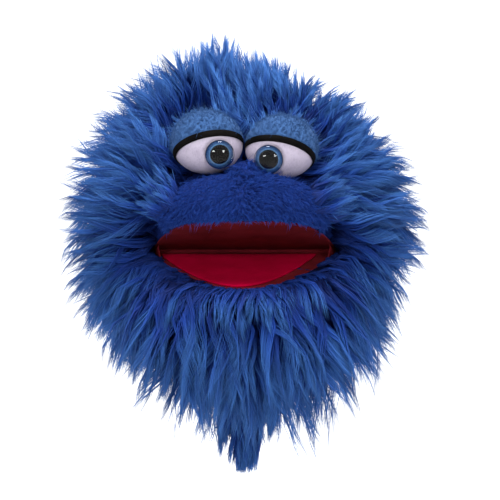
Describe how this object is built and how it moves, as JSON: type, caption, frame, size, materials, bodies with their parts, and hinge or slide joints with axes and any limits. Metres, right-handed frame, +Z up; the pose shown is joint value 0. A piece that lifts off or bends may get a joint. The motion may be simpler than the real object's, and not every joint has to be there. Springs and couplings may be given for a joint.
{
  "type": "moving mouth hand puppet",
  "caption": "Shaggy round-headed hand puppet with plush eyes, a hinged mouth worked by fingers and thumb, and an arm sleeve.",
  "frame": {"origin": "centre of the arm opening at the sleeve's hem", "axes": "+Z up along the sleeve to the head, -Y the way the face looks, +X to the right of someone facing the puppet"},
  "size_m": [0.236, 0.187, 0.286],
  "materials": {
    "fur_blue": "matte",
    "plush_blue": "matte",
    "lid_plush": "matte",
    "trim_black": "matte",
    "eye_white": "matte",
    "iris_blue": "gloss",
    "pupil_black": "gloss",
    "lens_clear": "gloss",
    "washer_plastic": "matte",
    "felt_dark_red": "matte",
    "felt_red": "matte",
    "lining_navy": "matte",
    "binding_navy": "matte",
    "wadding_white": "matte",
    "board_grey": "matte"
  },
  "bodies": {
    "sleeve": {"sleeve_fur": "fur_blue", "sleeve_lining": "lining_navy", "hem_binding": "binding_navy"},
    "head": {"crown_fur": "fur_blue", "back_fur": "fur_blue", "cheek_fur_left": "fur_blue", "cheek_fur_right": "fur_blue", "head_wadding": "wadding_white", "muzzle_plush": "plush_blue", "muzzle_wadding": "wadding_white", "finger_pocket": "lining_navy", "upper_mouth_board": "board_grey", "palate_lining": "felt_dark_red", "mouth_fold": "felt_dark_red", "eyeball_left": "eye_white", "eyeball_right": "eye_white", "eyelid_left": "lid_plush", "eyelid_right": "lid_plush", "lid_trim_left": "trim_black", "lid_trim_right": "trim_black", "iris_left": "iris_blue", "iris_right": "iris_blue", "pupil_left": "pupil_black", "pupil_right": "pupil_black", "eye_lens_left": "lens_clear", "eye_lens_right": "lens_clear", "eye_washer_left": "washer_plastic", "eye_washer_right": "washer_plastic"},
    "jaw": {"beard_fur": "fur_blue", "chin_wadding": "wadding_white", "thumb_pocket": "lining_navy", "lower_mouth_board": "board_grey", "floor_lining": "felt_dark_red", "tongue": "felt_red"}
  },
  "joints": [
    {"name": "head_nod", "type": "hinge", "parent": "sleeve", "child": "head", "pos_m": [0, 0, 0.054], "axis": [1, 0, 0], "range_deg": [-20, 12]},
    {"name": "jaw_open", "type": "hinge", "parent": "head", "child": "jaw", "pos_m": [0, -0.04, 0.104], "axis": [1, 0, 0], "range_deg": [-28, 22]}
  ]
}
